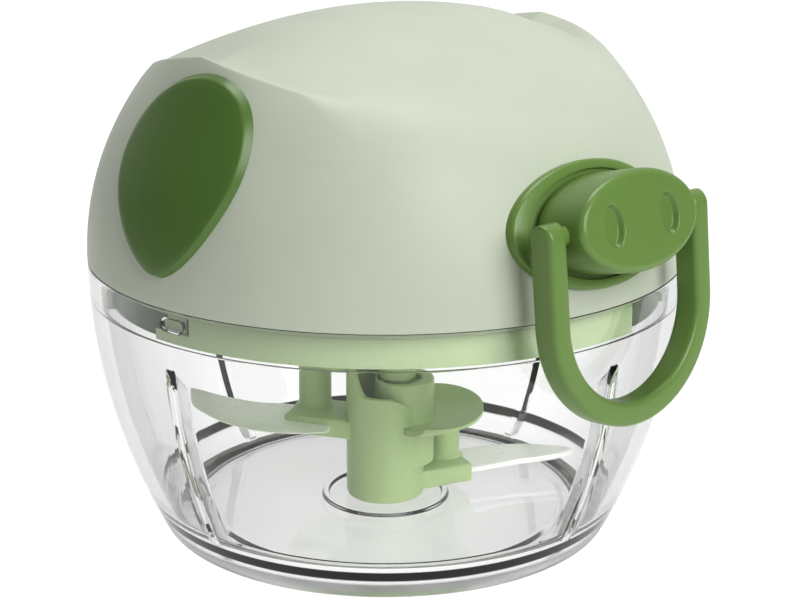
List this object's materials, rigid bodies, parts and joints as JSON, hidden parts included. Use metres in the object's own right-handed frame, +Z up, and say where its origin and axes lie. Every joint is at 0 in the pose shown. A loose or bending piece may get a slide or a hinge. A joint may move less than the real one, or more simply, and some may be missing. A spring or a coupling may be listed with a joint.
{
  "type": "pull-cord food chopper",
  "caption": "Small pull-cord food chopper: clear bowl, two curved blades on a spindle, round lid with ears, cord reel and a snout-shaped pull with a swinging ring.",
  "frame": {"origin": "on the bowl's axis, level with the surface that the bowl stands on; the underside mount lies 0.6 mm above it, in the hollow of the foot", "axes": "+Z up; the snout points along -Y, rising 14 degrees; the ears are on the X axis"},
  "size_m": [0.0914, 0.0969, 0.0789],
  "materials": {
    "clear_plastic": "clear, polished",
    "sage_plastic": "fine matt",
    "leaf_plastic": "satin",
    "moss_plastic": "satin",
    "pale_plastic": "satin",
    "white_plastic": "moulded",
    "steel": "polished stainless",
    "silicone": "soft",
    "cord": "braided nylon"
  },
  "bodies": {
    "bowl": {"bowl": "clear_plastic", "pivot_pin": "steel"},
    "cutter": {"cutter_hub": "pale_plastic", "blade_lower": "steel", "blade_upper": "steel"},
    "carrier": {"seal_ring": "silicone"},
    "drive": {"drive_shaft": "pale_plastic"},
    "lid": {"lid_cover": "sage_plastic", "lid_base": "pale_plastic", "ear_inlay_left": "moss_plastic", "ear_inlay_right": "moss_plastic", "cord_collar": "leaf_plastic", "cord_eyelet": "steel", "reel_bridge": "white_plastic", "reel_axle": "steel", "cover_screw_1": "steel", "cover_screw_2": "steel", "cover_screw_3": "steel", "bridge_screw_1": "steel", "bridge_screw_2": "steel", "bridge_screw_3": "steel", "spiral_spring": "steel", "cord_lead": "cord"},
    "reel": {"cord_reel": "white_plastic", "cord_winding": "cord", "pawl_front": "white_plastic", "pawl_back": "white_plastic"},
    "snout": {"snout_shell": "leaf_plastic", "snout_plug": "white_plastic", "cord_knot": "cord"},
    "ring": {"pull_ring": "leaf_plastic"}
  },
  "joints": [
    {"name": "cutter_spin", "type": "hinge", "parent": "bowl", "child": "cutter", "pos_m": [0, 0, 0], "axis": [0, 0, 1], "continuous": true},
    {"name": "lid_lift", "type": "slide", "parent": "bowl", "child": "carrier", "axis": [0, 0, 1], "range_m": [0, 0.07]},
    {"name": "drive_spin", "type": "hinge", "parent": "carrier", "child": "drive", "pos_m": [0, 0, 0], "axis": [0, 0, 1], "continuous": true},
    {"name": "lid_twist", "type": "hinge", "parent": "carrier", "child": "lid", "pos_m": [0, 0, 0], "axis": [0, 0, 1], "range_deg": [0, 15]},
    {"name": "reel_spin", "type": "hinge", "parent": "lid", "child": "reel", "pos_m": [0, 0, 0], "axis": [0, 0, 1], "continuous": true},
    {"name": "cord_pull", "type": "slide", "parent": "lid", "child": "snout", "axis": [0, -0.9703, 0.2419], "range_m": [0, 0.3], "stiffness_N_per_m": 15, "springref_m": -0.3, "deforming": ["cord_lead"]},
    {"name": "ring_swing", "type": "hinge", "parent": "snout", "child": "ring", "pos_m": [0, -0.04688, 0.05489], "axis": [-1, 0, 0], "range_deg": [-7, 180]}
  ],
  "couplings": [
    {"joint": "drive_spin", "follows": "cord_pull", "rad_per_m": 75},
    {"joint": "cutter_spin", "follows": "cord_pull", "rad_per_m": 75},
    {"joint": "reel_spin", "follows": "cord_pull", "rad_per_m": 75}
  ]
}
